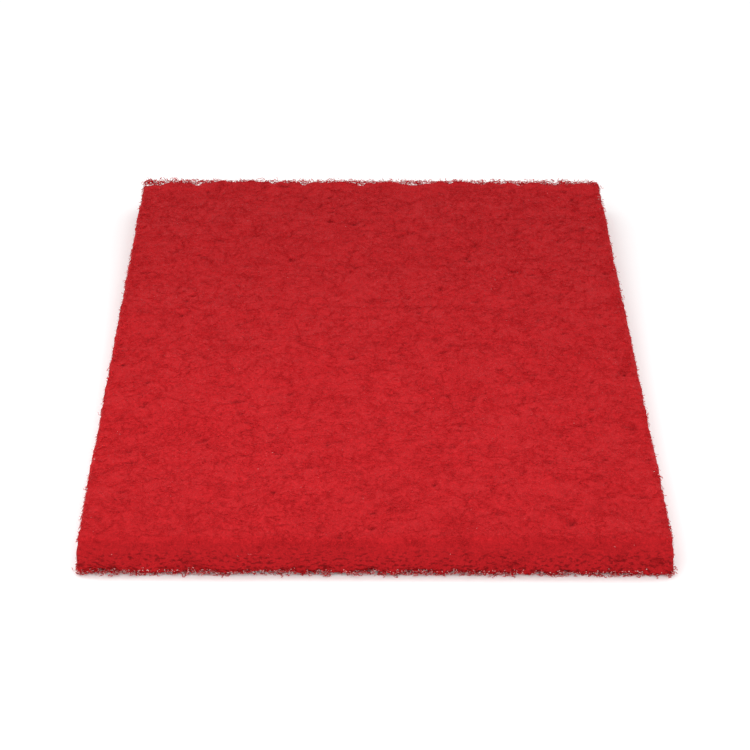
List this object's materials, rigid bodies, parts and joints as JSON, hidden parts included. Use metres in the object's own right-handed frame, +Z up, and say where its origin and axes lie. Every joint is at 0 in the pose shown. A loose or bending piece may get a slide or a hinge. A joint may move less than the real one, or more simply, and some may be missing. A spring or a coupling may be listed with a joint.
{
  "type": "floor buffing pad",
  "caption": "Rectangular non-woven fibre pad for an orbital floor machine: a thick open web with softly rounded edges, usable on either face.",
  "frame": {"origin": "centre of the lower face, the one that lies on the floor", "axes": "+X along the short side, +Y along the long side, +Z up through the thickness"},
  "size_m": [0.3556, 0.508, 0.0254],
  "materials": {
    "red_web": "open web of crimped red synthetic fibres bonded with resin; matt overall, paler where fibres are cut"
  },
  "bodies": {
    "root": {"floor_pad": "red_web"}
  },
  "joints": []
}
